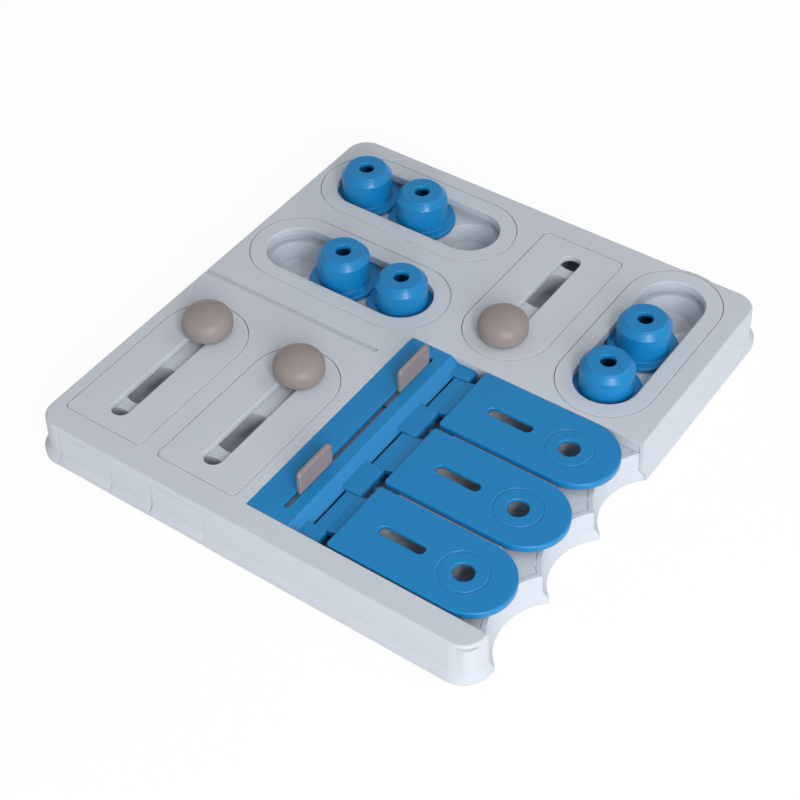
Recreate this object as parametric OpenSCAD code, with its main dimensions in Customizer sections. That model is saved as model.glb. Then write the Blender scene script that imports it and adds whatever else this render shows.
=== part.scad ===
// Sliding puzzle feeder for a dog, lying flat on its feet.
// A shallow moulded board holds treats in round wells. Three knobs push out
// drawers, six cups slide over three rows of wells, three hinged lids lift,
// and two tabs slide along the hinge panel. +X is the side the lids open
// from, +Z is up, and the origin lies under the middle of the board on the
// plane of its feet. All sizes are in millimetres.

/* [Board] */
// Width of the board's top, across to the lids
board_w = 300; // [299:1:304]
// Length of the board's top
board_l = 321; // [320:1:326]
// Height of the moulded board without its feet
board_h = 28; // [28:1:31]
// Radius of the board's four corners
board_corner_r = 14; // [10:1:16]
// Rounding of the edge round the board's top
lip_r = 1.5; // [1:0.5:2]
// Outward lean of the wall from the lip down to the flare
wall_draft = 0.8; // [0.4:0.2:1.2]
// How far the foot of the wall flares out
flare_out = 3; // [2:0.5:4]
// Height of the sloping part of the flare
flare_h = 3; // [2:0.5:4]
// Height of the upright band below the flare
skirt_h = 3.5; // [2:0.5:4]
// Thickness of the board's outer wall
wall_t = 2.6; // [2:0.2:3]
// Thickness of the board's top skin
skin_t = 2.8; // [2.4:0.2:3]

/* [Feet] */
// Radius of a rubber foot
foot_r = 6; // [5:0.5:6]
// How far a foot stands below the board
foot_proud = 1; // [0.5:0.5:2]
// Depth of the socket that holds a foot
foot_socket = 2; // [1:0.5:3]

/* [Drawers and knobs] */
// Width of a drawer, a little narrower than its channel
drawer_w = 38.7; // [36:0.1:38.8]
// Depth of the top of a drawer below the board's top
drawer_drop = 4.3; // [4.3:0.1:5]
// Radius of a drawer well at its mouth
drawer_well_r = 16.7; // [14:0.1:17]
// Distance from the middle line to the drawer's inner well
drawer_well_near = 100.1; // [98:0.1:101]
// Distance between a drawer's two wells
drawer_well_pitch = 41.1; // [38:0.1:42]
// Distance from the middle line to a knob with its drawer shut
knob_at = 48; // [47:0.5:50]
// Largest radius of a knob
knob_r = 15.5; // [14:0.25:16]
// Height of a knob above the cover plate
knob_h = 17.3; // [16:0.1:20]
// Radius of the stem that runs in the slot
stem_r = 5.7; // [4:0.1:5.8]

/* [Cover plates] */
// Width of a cover plate
plate_w = 56.3; // [54:0.1:58]
// Thickness of a cover plate
plate_t = 4; // [3:0.2:4]
// Distance from the middle line to the square end of a plate
plate_end = 144.3; // [142:0.1:146]
// Width of the slot that a knob runs in
slot_w = 12.4; // [12.2:0.1:14]
// Distance a drawer slides out
drawer_travel = 79; // [70:1:80]

/* [Cup tracks] */
// Outer radius of a track rim's round ends
rim_r = 30.6; // [29:0.1:31]
// Radius of the round ends of the rim's opening
rim_open_r = 20; // [19.5:0.1:20.5]
// Thickness of a track rim
rim_t = 3; // [2:0.2:3.2]
// Distance between the centres of a track's round ends
track_pitch = 79.3; // [79:0.1:80]
// Radius of the round ends of the hidden channel
channel_r = 22.4; // [22.2:0.1:23]
// Depth of the channel's floor below the board's top
channel_depth = 9.5; // [9:0.1:10]
// Radius of a track well at the channel's floor
track_well_r = 17.5; // [15:0.1:18]
// Radius of a track well at its own floor
track_well_foot_r = 14; // [12:0.1:15]

/* [Cups] */
// Radius of the flange that keeps a cup under the rim
flange_r = 21.7; // [21:0.1:21.8]
// Height of the flange's skirt
flange_h = 3.4; // [3:0.1:3.5]
// Radius of a cup's body
cup_r = 16.4; // [15:0.1:17]
// Height of a cup's top above the board's top
cup_rise = 15.5; // [12:0.5:20]
// Size of the sloping shoulder of a cup
cup_shoulder = 3.2; // [2.6:0.1:3.4]
// Radius of the hole in the top of a cup
cup_hole_r = 4.8; // [3:0.1:7]
// Wall thickness of a cup
cup_t = 2; // [1.6:0.1:2.4]

/* [Lids] */
// Width of a lid
lid_w = 50.3; // [48:0.1:51]
// Distance between the middle lines of two lids
lid_pitch = 53.87; // [53:0.01:54]
// Position of the hinge side of a lid's plate
lid_back = 45; // [44:0.5:46]
// Position of the round tip of a lid
lid_tip = 146.6; // [144:0.1:147]
// Depth of the rim round a lid
lid_edge_h = 4.5; // [3.5:0.1:4.5]
// Thickness of a lid's top skin
lid_skin = 2.2; // [1.8:0.1:2.6]
// Radius of the round hole in a lid
lid_hole_r = 6.25; // [5:0.25:8]
// Outer radius of the ring groove round that hole
lid_ring_r = 14.6; // [10:0.1:16]
// Width of the long hole in a lid
lid_slot_w = 6.5; // [5:0.1:8]

/* [Lid wells] */
// Radius of a well under a lid
lid_well_r = 17; // [14:0.1:18]
// Position of the well nearer to the hinge
lid_well_near = 77.5; // [75:0.5:78]
// Position of the well nearer to the open side
lid_well_far = 116.7; // [116:0.1:117]

/* [Hinge] */
// Position of the hinge line across the board
hinge_x = 33.5; // [33:0.1:34]
// Height of the hinge line below the board's top
hinge_drop = 9; // [8.5:0.1:9.5]
// Radius of the knuckles on the panel
knuckle_r = 5; // [4.5:0.1:5.2]
// Radius of the barrel on a lid
barrel_r = 4.8; // [4.4:0.1:5]
// Length of the barrel on a lid
barrel_l = 29.8; // [28:0.1:30]
// Radius of the stub moulded on each end of a barrel
stub_r = 2; // [1.5:0.1:2.4]
// Length of a stub
stub_l = 6; // [4:0.5:8]
// Radial clearance of a stub in its knuckle
stub_gap = 0.05; // [0.02:0.01:0.1]

/* [Lock tabs] */
// Thickness of a tab's blade
blade_t = 2.8; // [2:0.1:3]
// Length of a tab's blade along the slot
blade_l = 29.5; // [25:0.5:30]
// Height of a blade above the panel
blade_rise = 14.5; // [10:0.5:18]
// Rounding of a blade's upper corners
blade_corner_r = 3; // [2:0.5:5]
// Thickness of the base that runs under the panel
base_t = 2.6; // [2:0.1:2.6]

/* [Hidden] */
$fn = 64;
// A small overlap that makes a cut run past a face.
eps = 0.5;
seam = 0.35;
seat_gap = 0.05;
run_gap = 0.3;

// Heights of the board.
foot_top = foot_proud;
top_z = foot_proud + board_h;
skirt_top = foot_top + skirt_h;
flare_top = skirt_top + flare_h;
skin_z = top_z - skin_t;
cavity_low = foot_top - eps;
half_w = board_w / 2;
half_l = board_l / 2;
foot_bulge = wall_draft + flare_out;
rib_t = 2;
rib_low = 18;
foot_wall = 2;
foot_fit = 0.1;
foot_boss_r = foot_r + foot_wall;
foot_places = [
    [-141.2, -148], [141.2, -152], [141.2, 148], [-141.2, 148], [-141.2, -6], [141.2, 28]
];

// The groove moulded in the top, and the ribs under it.
groove_y = -6;
groove_end = -18.5;
groove_w = 3;
groove_depth = 1.4;
rib_far_x = [1.2, 70];
rib_near_x = -79;
rib_y = 80.5;

// Drawer bays. Each is drawn with its open end towards +Y, then turned.
bay_x = [-113.4, -44.6, 35.5];
bay_turn = [180, 180, 0];
drawer_shift = [0, 0.2, 0];
bay_w = 39.2;
bay_start = 30;
bay_wall = 2;
bay_floor_low = 2;
bay_floor = 4;
bay_top = top_z - plate_t;
bay_end = half_l - wall_t - run_gap;
tray_gap = 0.2;
front_gap = 0.05;
drawer_lift = 0.25;
drawer_floor_t = 2.2;
drawer_well_lean = 1.3;
drawer_front_lap = 0.6;
front_low = foot_top + run_gap;
front_high = bay_top - front_gap;
drawer_low = bay_floor + drawer_lift;
drawer_high = top_z - drawer_drop;
drawer_start = bay_start + 1;
drawer_end = half_l - wall_t + drawer_front_lap;
drawer_t = 2;
drawer_floor = drawer_low + drawer_floor_t;
drawer_well_low_r = drawer_well_r - drawer_well_lean;
well_round = 3;
knob_lift = 0.5;
knob_low = top_z + knob_lift;
knob_top = top_z + knob_h;
knob_edge_r = 7.5;
knob_tuck_r = 5.5;
knob_tuck_h = 4.4;
knob_dome_r = 24;
spigot_r = 3.45;
spigot_gap = 0.05;
spigot_l = 7;
knob_boss_t = 2.5;
knob_boss_r = spigot_r + knob_boss_t;
plate_corner_r = 3.5;
plate_arc_lead = 6.7;
plate_edge = 0.4;
ledge_t = 2.6;

// Cup tracks. Two run across the board and one runs along it.
track_x = [-74.85, -74.85, 106.5];
track_y = [118.3, 42.7, 89];
track_turn = [0, 180, 90];
track_end = track_pitch / 2;
track_wall = 2.4;
track_mouth_r = 26.7;
track_floor_t = 2;
track_floor = top_z - channel_depth;
track_well_step = 40.3;
well_floor = 7;
well_wall = 2;
rim_edge = 0.8;
rim_lip_r = channel_r - seat_gap - run_gap;
cup_lift = 0.2;
cup_low = track_floor + cup_lift;
cup_flange_top = cup_low + flange_h;
rim_lip_low = cup_flange_top + run_gap;
cup_top = top_z + cup_rise;
cup_end = track_end + channel_r - flange_r - run_gap;
cup_pitch = 2 * flange_r + run_gap;
cup_edge = 0.6;
cup_step = 1;
cup_disc_in = 0.3;
cup_ceiling_r = 2.2;

// The sunk corner that holds the lids and the hinge panel.
lid_y = -10;
recess_x = -7.8;
recess_low_y = -144.7;
recess_high_y = 15.65;
recess_depth = 8.5;
recess_floor = top_z - recess_depth;
recess_wall = 2.6;
platform_x = 22.5;
platform_depth = 6.2;
platform_z = top_z - platform_depth;
trough_end = 50;
trough_depth = 16;
trough_floor = top_z - trough_depth;
scallop_r = 39.7;
scallop_deep = 138.4;
scallop_x = scallop_deep + scallop_r;
rest_w = 8;
rest_from = 55;
rest_to = 122;
rest_z = top_z - lid_edge_h - run_gap;
frame_high = skin_z - tray_gap;
frame_tie = 1.8;
lid_floor_t = 2.8;
lid_well_lean = 1;

// Lids and their hinge.
hinge_z = top_z - hinge_drop;
lid_under = top_z - lid_edge_h;
lid_arc_x = lid_tip - lid_w / 2;
lid_rim_t = 2;
lid_ring_w = 1.1;
lid_ring_depth = 0.4;
lid_corner_r = 2;
lid_slot_from = 63;
lid_slot_to = 92;
arm_drop = 2.4;
arm_t = 3;
arm_bend = [3.9, 4.6];
arm_end = [-3.9, 4.4];
stub_in = 0.6;

// Hinge panel.
panel_x = -7.6;
panel_flat = 20.5;
panel_slope_x = 28;
panel_slope_drop = 6;
slope_under = 2;
slope_t = 1.6;
panel_t = 3;
panel_low_y = recess_low_y + run_gap;
panel_high_y = recess_high_y - run_gap;
panel_lip_t = 2;
panel_corner_r = 4;
knuckle_gap = 30.4;
knuckle_block_drop = 4;
tab_x = 11.5;
tab_slot_w = 3.6;
tab_slot_low = -134.6;
tab_slot_high = 7.2;
guide_x = 7.4;
guide_t = 1.6;

// Lock tabs.
tab_low_y = [-122, -26];
base_w = 14;
base_tail = 11.7;
base_high = top_z - panel_t - run_gap;
base_low = base_high - base_t;

// ---- shapes shared by several pieces ----

// A flat slab between two corner points, from one height to another.
module slab(from, to, low, high) {
    translate([from[0], from[1], low])
        cube([to[0] - from[0], to[1] - from[1], high - low]);
}

// A long shape with round ends, along X about the origin.
module stadium(half, r, low, high) {
    translate([0, 0, low])
        linear_extrude(high - low) {
            square([2 * half, 2 * r], center = true);
            translate([-half, 0])
                circle(r);
            translate([half, 0])
                circle(r);
        }
}

// The hollow of a round well with a leaning wall and a rounded floor.
module well(r_top, r_low, floor_z, mouth_z) {
    rotate_extrude() {
        polygon([
            [0, floor_z],
            [r_low - well_round, floor_z],
            [r_low, floor_z + well_round],
            [r_top, mouth_z],
            [r_top, mouth_z + eps],
            [0, mouth_z + eps]
        ]);
        translate([r_low - well_round, floor_z + well_round])
            circle(well_round, $fn = 32);
    }
}

// A rod along Y, centred on a point of the hinge line.
module rod(r, from_y, to_y) {
    translate([hinge_x, from_y, hinge_z])
        rotate([-90, 0, 0])
            cylinder(r = r, h = to_y - from_y);
}

// The upright profile of the board's side: distance from the outline of the
// top, then height. It leans, flares and ends in a short upright band.
module side_profile(reach, inset, low, high, round_r) {
    edge = reach - inset;
    polygon([
        [0, low],
        [edge + foot_bulge, low],
        [edge + foot_bulge, skirt_top],
        [edge + wall_draft, flare_top],
        [edge, high - round_r],
        [edge - round_r, high],
        [0, high]
    ]);
    if (round_r > 0)
        translate([edge - round_r, high - round_r])
            circle(round_r, $fn = 32);
}

// The board's outer shape, made of four turned corners and two long runs.
module housing(inset, low, high, round_r) {
    corner_x = half_w - board_corner_r;
    corner_y = half_l - board_corner_r;
    for (sx = [-1, 1], sy = [-1, 1])
        translate([sx * corner_x, sy * corner_y, 0])
            rotate_extrude()
                side_profile(board_corner_r, inset, low, high, round_r);
    for (turn = [0, 180]) {
        rotate([90, 0, turn])
            translate([0, 0, -corner_y])
                linear_extrude(2 * corner_y)
                    side_profile(half_w, inset, low, high, round_r);
        rotate([90, 0, 90 + turn])
            translate([0, 0, -corner_x])
                linear_extrude(2 * corner_x)
                    side_profile(half_l, inset, low, high, round_r);
    }
}

module at_bay(i) {
    translate([bay_x[i], 0, 0])
        rotate(bay_turn[i])
            children();
}

module at_drawer(i) {
    translate([drawer_shift[i], 0, 0])
        at_bay(i)
            children();
}

// A track's own X runs from its pushed end to its free end.
module at_track(i) {
    translate([track_x[i], track_y[i], 0])
        rotate(track_turn[i])
            children();
}

module at_lid(i) {
    translate([0, lid_y - i * lid_pitch, 0])
        children();
}

// The outline of a cover plate: one round end, one square end.
module plate_outline(grow) {
    r = plate_w / 2 + grow;
    corner = plate_corner_r + grow;
    arc_y = knob_at + plate_arc_lead;
    end_y = plate_end + grow;
    translate([0, arc_y])
        circle(r);
    translate([-r, arc_y])
        square([2 * r, end_y - corner - arc_y]);
    translate([-r + corner, arc_y])
        square([2 * (r - corner), end_y - arc_y]);
    for (side = [-1, 1])
        translate([side * (r - corner), end_y - corner])
            circle(corner, $fn = 32);
}

// ---- the board ----

// Ledges under the deck, which carry the cover plates and the track rims.
module bay_ledge() {
    translate([0, 0, bay_top - ledge_t])
        linear_extrude(plate_t + ledge_t - eps)
            plate_outline(seam + bay_wall);
}

module track_ledge() {
    stadium(track_end, rim_r + track_wall, top_z - rim_t - ledge_t, top_z - eps);
}

// Discs that cut the finger scallops in the open side.
module scallop_discs(r) {
    for (i = [0:2])
        at_lid(i)
            translate([scallop_x, 0, foot_top])
                cylinder(r = r, h = board_h);
}

// The space cut by one scallop, narrower at its foot to keep the flare.
module scallop_cut() {
    translate([scallop_x, 0, 0])
        rotate_extrude()
            polygon([
                [0, -eps],
                [scallop_r - foot_bulge, -eps],
                [scallop_r - foot_bulge, skirt_top],
                [scallop_r - wall_draft, flare_top],
                [scallop_r, top_z - lip_r],
                [scallop_r, top_z + eps],
                [0, top_z + eps]
            ]);
}

module underside_ribs() {
    half = rib_t / 2;
    reach_x = half_w - wall_t;
    reach_y = half_l - wall_t;
    high = skin_z + eps;
    for (x = rib_far_x)
        slab([x - half, recess_high_y], [x + half, reach_y], rib_low, high);
    slab([rib_near_x - half, -reach_y], [rib_near_x + half, groove_y], rib_low, high);
    slab([-reach_x, rib_y - half], [rib_far_x[0], rib_y + half], rib_low, high);
}

module foot_bosses() {
    for (p = foot_places)
        translate([p[0], p[1], foot_top])
            cylinder(r = foot_boss_r, h = skin_z + eps - foot_top);
}

// Room for a drawer's channel, its opening in the wall, and the cover plate.
module bay_cut() {
    side = bay_w / 2 + bay_wall + tray_gap;
    front = half_l + foot_bulge + eps;
    slab([-side, bay_start - bay_wall - tray_gap], [side, half_l - wall_t], -eps, bay_top);
    slab([-bay_w / 2, bay_start], [bay_w / 2, front], -eps, bay_top);
    translate([0, 0, bay_top])
        linear_extrude(plate_t + eps)
            plate_outline(seam);
}

module track_cut() {
    stadium(track_end, rim_r + seam, top_z - rim_t, top_z + eps);
    stadium(track_end, track_mouth_r, rib_low - eps, top_z);
}

// Room for the lids, with the frame that holds them in from below.
module recess_cut() {
    open_x = half_w + foot_bulge + eps;
    out = recess_wall + tray_gap;
    low = trough_floor - out;
    slab([recess_x, recess_low_y], [open_x, recess_high_y], frame_high - eps, top_z + eps);
    slab([recess_x - out, recess_low_y - out], [half_w - wall_t, recess_high_y + out],
         low, frame_high + tray_gap);
    slab([half_w - wall_t - eps, recess_low_y], [open_x, recess_high_y],
         -eps, frame_high + tray_gap);
}

module top_groove() {
    low = top_z - groove_depth;
    slab([-half_w - eps, groove_y - groove_w / 2],
         [groove_end - groove_w / 2, groove_y + groove_w / 2], low, top_z + eps);
    translate([groove_end - groove_w / 2, groove_y, low])
        cylinder(d = groove_w, h = groove_depth + eps);
}

module board() {
    color("#c2c7ce")
        difference() {
            union() {
                difference() {
                    housing(0, foot_top, top_z, lip_r);
                    housing(wall_t, cavity_low, skin_z, 0);
                }
                underside_ribs();
                foot_bosses();
                for (i = [0:2]) {
                    at_bay(i)
                        bay_ledge();
                    at_track(i)
                        track_ledge();
                }
            }
            for (i = [0:2]) {
                at_bay(i)
                    bay_cut();
                at_track(i)
                    track_cut();
            }
            recess_cut();
            top_groove();
            for (p = foot_places)
                translate([p[0], p[1], foot_top - eps])
                    cylinder(r = foot_r + foot_fit, h = foot_socket + eps);
        }
}

// ---- trays and channels under the board's top ----

// Three wells in a row under a channel for the cups' flanges.
module track_tray(i) {
    high = top_z - rim_t;
    color("#b4b8be")
        at_track(i)
            difference() {
                union() {
                    stadium(track_end, track_mouth_r - tray_gap, high - ledge_t, high);
                    stadium(track_end, channel_r + well_wall,
                            track_floor - track_floor_t, high);
                    for (k = [-1:1])
                        translate([k * track_well_step, 0, well_floor - well_wall])
                            cylinder(r1 = track_well_foot_r + well_wall,
                                     r2 = track_well_r + well_wall,
                                     h = track_floor - well_floor + well_wall);
                }
                stadium(track_end, channel_r, track_floor, high + eps);
                for (k = [-1:1])
                    translate([k * track_well_step, 0, 0])
                        well(track_well_r, track_well_foot_r, well_floor, track_floor);
            }
}

// The channel that a drawer runs in, open at the board's wall.
module drawer_bay(i) {
    side = bay_w / 2;
    color("#a9adb3")
        at_bay(i)
            difference() {
                slab([-side - bay_wall, bay_start - bay_wall],
                     [side + bay_wall, bay_end], bay_floor_low, bay_top);
                slab([-side, bay_start], [side, bay_end + eps], bay_floor, bay_top + eps);
            }
}

// The frame round the sunk corner: three straight walls, and the board's
// outer wall cut back in three scallops behind the lids' tips.
module lid_frame() {
    low = trough_floor - recess_wall;
    far_x = half_w - wall_t - tray_gap;
    color("#b9bec6") {
        slab([recess_x - recess_wall, recess_low_y - recess_wall],
             [recess_x, recess_high_y + recess_wall], low, frame_high);
        for (y = [recess_low_y - recess_wall, recess_high_y])
            slab([recess_x - eps, y], [far_x, y + recess_wall], low, frame_high);
        difference() {
            intersection() {
                union() {
                    difference() {
                        housing(0, foot_top, recess_floor, 0);
                        housing(wall_t, cavity_low, recess_floor + eps, 0);
                    }
                    intersection() {
                        housing(0, foot_top, recess_floor, 0);
                        scallop_discs(scallop_r + wall_t);
                    }
                }
                slab([lid_well_far, recess_low_y + tray_gap],
                     [half_w + foot_bulge, recess_high_y - tray_gap],
                     foot_top, recess_floor);
            }
            for (i = [0:2])
                at_lid(i)
                    scallop_cut();
        }
        for (y = [recess_low_y, recess_high_y - tray_gap - eps])
            slab([far_x - frame_tie, y], [far_x, y + tray_gap + eps], low, recess_floor);
    }
}

// The floor under the lids with its six wells and two rests.
module lid_tray() {
    low = recess_floor - lid_floor_t;
    color("#b4b8be")
        difference() {
            union() {
                slab([trough_end, recess_low_y + tray_gap],
                     [half_w - wall_t - tray_gap, recess_high_y - tray_gap],
                     low, recess_floor);
                for (i = [0:2], x = [lid_well_near, lid_well_far])
                    at_lid(i)
                        translate([x, 0, well_floor - well_wall])
                            cylinder(r = lid_well_r + well_wall, h = recess_floor - well_floor);
                lid_rests();
            }
            for (i = [0:2], x = [lid_well_near, lid_well_far])
                at_lid(i)
                    translate([x, 0, 0])
                        well(lid_well_r, lid_well_r - lid_well_lean, well_floor, recess_floor);
            scallop_discs(scallop_r + wall_t + tray_gap);
        }
}

module lid_rests() {
    for (i = [0, 1])
        slab([rest_from, lid_y - (i + 0.5) * lid_pitch - rest_w / 2],
             [rest_to, lid_y - (i + 0.5) * lid_pitch + rest_w / 2],
             recess_floor - eps, rest_z);
}

// The bed of the hinge panel, with a trough for the knuckles and barrels.
module hinge_bed() {
    from_y = recess_low_y + tray_gap;
    to_y = recess_high_y - tray_gap;
    from_x = recess_x + tray_gap;
    wall_x = trough_end - tray_gap;
    color("#b4b8be")
        difference() {
            union() {
                slab([from_x, from_y], [platform_x, to_y], platform_z - lid_floor_t, platform_z);
                slab([platform_x - recess_wall, from_y], [wall_x, to_y],
                     trough_floor - recess_wall, recess_floor);
            }
            slab([platform_x, from_y - eps], [wall_x - recess_wall, to_y + eps],
                 trough_floor, platform_z + eps);
        }
}

// ---- pieces fixed to the board ----

module cover_plate(i) {
    slot_half = drawer_travel / 2;
    color("#b9bec6")
        at_bay(i)
            difference() {
                translate([0, 0, bay_top]) {
                    linear_extrude(plate_t - plate_edge)
                        plate_outline(0);
                    linear_extrude(plate_t)
                        plate_outline(-plate_edge);
                }
                translate([0, knob_at + slot_half, 0])
                    rotate(90)
                        stadium(slot_half, slot_w / 2, bay_top - eps, top_z + eps);
            }
}

// The frame round a track. Its lip keeps the cups' flanges down.
module track_rim(i) {
    color("#b9bec6")
        at_track(i)
            difference() {
                union() {
                    stadium(track_end, rim_r, top_z - rim_t, top_z - plate_edge);
                    stadium(track_end, rim_r - plate_edge, top_z - rim_t, top_z);
                    stadium(track_end, rim_lip_r, rim_lip_low, top_z - eps);
                }
                stadium(track_end, rim_open_r, rim_lip_low - eps, top_z + eps);
                stadium(track_end, rim_open_r + rim_edge, top_z - rim_edge, top_z + eps);
            }
}

// The panel's end view, drawn once and run along the hinge.
module panel_section() {
    slope_z = top_z - panel_slope_drop;
    polygon([
        [panel_x, top_z],
        [panel_flat, top_z],
        [panel_slope_x, slope_z],
        [panel_slope_x - slope_under, slope_z - slope_t],
        [panel_flat - slope_under / 2, top_z - panel_t],
        [panel_x, top_z - panel_t]
    ]);
}

// One knuckle with the block that ties it to the slope.
module knuckle(from_y, to_y) {
    rod(knuckle_r, from_y, to_y);
    slab([panel_slope_x - panel_t, from_y], [hinge_x, to_y], hinge_z,
         top_z - knuckle_block_drop);
}

module hinge_panel() {
    low = panel_low_y;
    high = panel_high_y;
    color("#2f7db8")
        difference() {
            union() {
                translate([0, high, 0])
                    rotate([90, 0, 0])
                        linear_extrude(high - low)
                            panel_section();
                slab([panel_x, low], [panel_x + panel_lip_t, high],
                     platform_z + seat_gap, top_z - panel_t);
                for (y = [low, high - panel_lip_t])
                    slab([panel_x, y], [panel_flat, y + panel_lip_t],
                         platform_z + seat_gap, top_z - panel_t);
                for (side = [-1, 1])
                    slab([tab_x + side * guide_x + (side - 1) / 2 * guide_t, tab_slot_low],
                         [tab_x + side * guide_x + (side + 1) / 2 * guide_t, tab_slot_high],
                         base_low, top_z - panel_t);
                knuckle(lid_y + knuckle_gap / 2, high);
                knuckle(low, lid_y - 2 * lid_pitch - knuckle_gap / 2);
                for (i = [0, 1])
                    knuckle(lid_y - (i + 1) * lid_pitch + knuckle_gap / 2,
                            lid_y - i * lid_pitch - knuckle_gap / 2);
            }
            for (i = [0:2])
                at_lid(i)
                    rod(stub_r + stub_gap, -barrel_l / 2 - stub_l - stub_in,
                        barrel_l / 2 + stub_l + stub_in);
            tab_slot();
            panel_corner(high);
        }
}

module tab_slot() {
    r = tab_slot_w / 2;
    slab([tab_x - r, tab_slot_low + r], [tab_x + r, tab_slot_high - r],
         top_z - panel_t - eps, top_z + eps);
    for (y = [tab_slot_low + r, tab_slot_high - r])
        translate([tab_x, y, top_z - panel_t - eps])
            cylinder(r = r, h = panel_t + 2 * eps);
}

// The waste outside the one rounded corner of the panel.
module panel_corner(y) {
    difference() {
        translate([panel_x - eps, y - panel_corner_r, platform_z])
            cube([panel_corner_r + eps, panel_corner_r + eps, top_z]);
        translate([panel_x + panel_corner_r, y - panel_corner_r, 0])
            cylinder(r = panel_corner_r, h = 2 * top_z);
    }
}

module rubber_feet() {
    color("#3a3a3c")
        for (p = foot_places)
            translate([p[0], p[1], 0])
                cylinder(r = foot_r, h = foot_proud + foot_socket);
}

// ---- drawers and knobs ----

module drawer(i) {
    reach = drawer_w / 2;
    inner = reach - drawer_t;
    wells = [drawer_well_near, drawer_well_near + drawer_well_pitch];
    color("#aeb3ba")
        at_drawer(i)
            difference() {
                union() {
                    difference() {
                        slab([-reach, drawer_start], [reach, drawer_end],
                             drawer_low, drawer_high);
                        slab([-inner, drawer_start + drawer_t], [inner, drawer_end - drawer_t],
                             drawer_low - eps, drawer_high - drawer_t);
                    }
                    for (y = wells)
                        translate([0, y, drawer_low])
                            cylinder(r1 = drawer_well_low_r + drawer_t,
                                     r2 = drawer_well_r + drawer_t,
                                     h = drawer_high - drawer_low - eps);
                    translate([0, knob_at, drawer_low])
                        cylinder(r = knob_boss_r, h = drawer_high - drawer_low - eps);
                    drawer_front();
                }
                for (y = wells)
                    translate([0, y, 0])
                        well(drawer_well_r, drawer_well_low_r, drawer_floor, drawer_high);
                translate([0, knob_at, drawer_high - spigot_l - 1])
                    cylinder(r = spigot_r + spigot_gap, h = spigot_l + 2);
            }
}

// The drawer's front is a piece of the board's wall.
module drawer_front() {
    translate([-drawer_w / 2, 0, 0])
        rotate([90, 0, 90])
            linear_extrude(drawer_w)
                intersection() {
                    difference() {
                        side_profile(half_l, 0, foot_top, top_z, 0);
                        side_profile(half_l, wall_t, 0, top_z + eps, 0);
                    }
                    translate([plate_end, front_low])
                        square([2 * wall_t + foot_bulge + half_l - plate_end,
                                front_high - front_low]);
                }
}

// A turned knob: upright sides, tucked in and cut flat below, domed on top.
module knob(i) {
    edge_x = knob_r - knob_edge_r;
    dome_in = knob_dome_r - knob_edge_r;
    dome_z = sqrt(dome_in * dome_in - edge_x * edge_x);
    edge_z = knob_top - knob_dome_r + dome_z;
    meet_x = edge_x * knob_dome_r / dome_in;
    color("#8f8683")
        at_drawer(i)
            translate([0, knob_at, 0]) {
                rotate_extrude()
                    intersection() {
                        union() {
                            translate([edge_x, edge_z])
                                circle(knob_edge_r, $fn = 96);
                            intersection() {
                                translate([0, knob_top - knob_dome_r])
                                    circle(knob_dome_r, $fn = 256);
                                translate([0, edge_z])
                                    square([meet_x, knob_dome_r]);
                            }
                            translate([knob_r - knob_tuck_r, knob_low + knob_tuck_h])
                                circle(knob_tuck_r, $fn = 96);
                            translate([0, knob_low + knob_tuck_h])
                                square([knob_r, edge_z - knob_low - knob_tuck_h]);
                            translate([0, knob_low])
                                square([knob_r - knob_tuck_r, edge_z - knob_low + eps]);
                        }
                        translate([0, knob_low])
                            square([knob_r + 1, knob_h]);
                    }
                translate([0, 0, drawer_high + seat_gap])
                    cylinder(r = stem_r, h = knob_low - drawer_high);
                translate([0, 0, drawer_high - spigot_l])
                    cylinder(r = spigot_r, h = spigot_l + 1);
            }
}

// ---- cups ----

module cup_outside() {
    flat_r = cup_r - cup_shoulder;
    disc_r = flat_r - cup_disc_in;
    band_z = cup_top - cup_step;
    polygon([
        [0, cup_low],
        [flange_r - cup_edge, cup_low],
        [flange_r, cup_low + cup_edge],
        [flange_r, cup_flange_top - cup_edge],
        [flange_r - cup_edge, cup_flange_top],
        [cup_r, cup_flange_top],
        [cup_r, band_z - cup_shoulder],
        [flat_r, band_z],
        [disc_r, band_z],
        [disc_r, cup_top - cup_edge],
        [disc_r - cup_edge, cup_top],
        [0, cup_top]
    ]);
}

module cup_inside() {
    r = cup_r - cup_t;
    ceiling = cup_top - cup_step - cup_t;
    polygon([
        [0, cup_low - eps],
        [flange_r - cup_t, cup_low - eps],
        [flange_r - cup_t, cup_flange_top - cup_t],
        [r, cup_flange_top - cup_t],
        [r, ceiling - cup_ceiling_r],
        [r - cup_ceiling_r, ceiling],
        [0, ceiling]
    ]);
    translate([r - cup_ceiling_r, ceiling - cup_ceiling_r])
        circle(cup_ceiling_r, $fn = 32);
}

// Cups 1, 3 and 5 lead; each of the others rests against the track's end.
module cup(track, step) {
    color("#2b78b3")
        at_track(track)
            translate([-cup_end + step * cup_pitch, 0, 0])
                rotate_extrude()
                    difference() {
                        cup_outside();
                        cup_inside();
                        square([cup_hole_r, 2 * cup_top]);
                        polygon([
                            [0, cup_top - cup_edge],
                            [cup_hole_r, cup_top - cup_edge],
                            [cup_hole_r + cup_edge, cup_top],
                            [0, cup_top]
                        ]);
                    }
}

// ---- lids ----

// The outline of a lid: a straight hinge side and a round tip.
module lid_outline(inset) {
    r = lid_w / 2 - inset;
    corner = lid_corner_r;
    back = lid_back + inset;
    translate([lid_arc_x, 0])
        circle(r);
    translate([back + corner, -r])
        square([lid_arc_x - back - corner, 2 * r]);
    translate([back, -r + corner])
        square([lid_arc_x - back, 2 * (r - corner)]);
    for (side = [-1, 1])
        translate([back + corner, side * (r - corner)])
            circle(corner, $fn = 32);
}

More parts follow.
